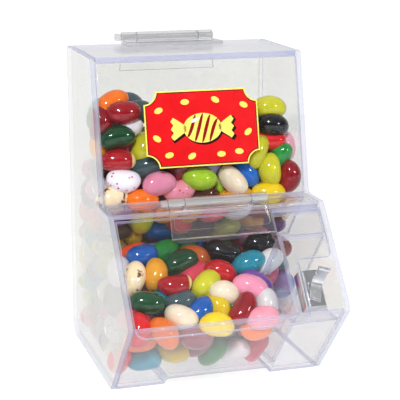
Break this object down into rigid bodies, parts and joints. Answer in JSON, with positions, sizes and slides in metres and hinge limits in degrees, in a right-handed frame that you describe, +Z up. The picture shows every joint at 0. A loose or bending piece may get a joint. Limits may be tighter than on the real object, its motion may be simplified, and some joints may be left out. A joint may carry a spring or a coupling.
{
  "type": "candy scoop bin",
  "caption": "Desk-top clear plastic scoop bin for loose sweets: leaning window, lift-up front door, scoop bay with a small metal scoop, and a hinged refill lid.",
  "frame": {"origin": "centre of the footprint of the whole object, at the level its feet stand on", "axes": "+X to the object's right as seen by a customer, -Y out of the front door, +Z up"},
  "size_m": [0.104, 0.1269, 0.1556],
  "materials": {
    "clear_plastic": "clear polished, faint lilac edges",
    "hinge_plastic": "clear moulded",
    "label_print": "printed gloss",
    "scoop_metal": "bright rolled sheet",
    "sweets": "glazed sugar shell, mixed colours"
  },
  "bodies": {
    "bin": {"left_side_wall": "clear_plastic", "right_side_wall": "clear_plastic", "back_wall": "clear_plastic", "floor_pan": "clear_plastic", "front_window": "clear_plastic", "shelf_panel": "clear_plastic", "lower_front_panel": "clear_plastic", "flow_baffle": "clear_plastic", "bay_header": "clear_plastic", "bay_back_plate": "clear_plastic", "bay_ledge": "clear_plastic", "bay_divider": "clear_plastic", "front_hinge_fixed_leaf": "hinge_plastic", "front_hinge_pin": "hinge_plastic", "lid_hinge_fixed_leaf": "hinge_plastic", "lid_hinge_pin": "hinge_plastic", "front_label": "label_print", "candy_in_hopper": "sweets", "candy_in_tray": "sweets"},
    "front_door": {"front_door_panel": "clear_plastic", "front_hinge_door_leaf": "hinge_plastic"},
    "refill_lid": {"lid_panel": "clear_plastic", "lid_hinge_lid_leaf": "hinge_plastic"},
    "scoop": {"scoop_bowl": "scoop_metal", "scoop_handle": "scoop_metal", "scoop_rivet_lower": "scoop_metal", "scoop_rivet_upper": "scoop_metal"}
  },
  "joints": [
    {"name": "door_hinge", "type": "hinge", "parent": "bin", "child": "front_door", "pos_m": [0, -0.0232, 0.0862], "axis": [-1, 0, 0], "range_deg": [0, 155]},
    {"name": "lid_hinge", "type": "hinge", "parent": "bin", "child": "refill_lid", "pos_m": [0, 0.0611, 0.1531], "axis": [-1, 0, 0], "range_deg": [0, 180]},
    {"name": "scoop_lift", "type": "slide", "parent": "bin", "child": "scoop", "axis": [0, -0.7719, 0.6357], "range_m": [0, 0.04]}
  ]
}
